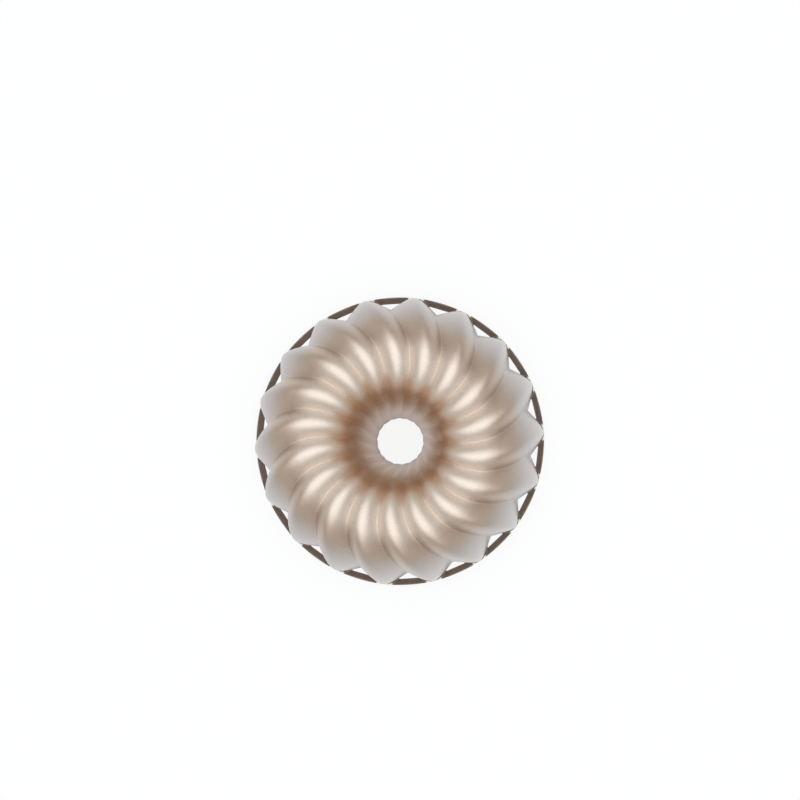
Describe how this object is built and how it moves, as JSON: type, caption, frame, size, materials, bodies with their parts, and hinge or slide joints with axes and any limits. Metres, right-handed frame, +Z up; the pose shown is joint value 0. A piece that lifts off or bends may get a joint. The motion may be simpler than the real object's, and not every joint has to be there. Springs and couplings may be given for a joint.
{
  "type": "brioche mould",
  "caption": "Ring mould for brioche: deep swirled flutes round an open centre tube, with a low hoop joining the flute tips at the rim and openings between them.",
  "frame": {"origin": "middle of the rim's underside, on the mould's own axis, on the surface that it stands on", "axes": "+Z up along the centre tube from rim to crown, +X towards one flute tip"},
  "size_m": [0.26, 0.2586, 0.0901],
  "materials": {
    "shell_lacquer": "champagne non-stick lacquer with fine metal flake, satin",
    "tube_lacquer": "champagne non-stick lacquer with fine metal flake, satin",
    "hoop_lacquer": "champagne non-stick lacquer with fine metal flake, satin"
  },
  "bodies": {
    "root": {"fluted_shell": "shell_lacquer", "centre_tube": "tube_lacquer", "rim_hoop": "hoop_lacquer"}
  },
  "joints": []
}
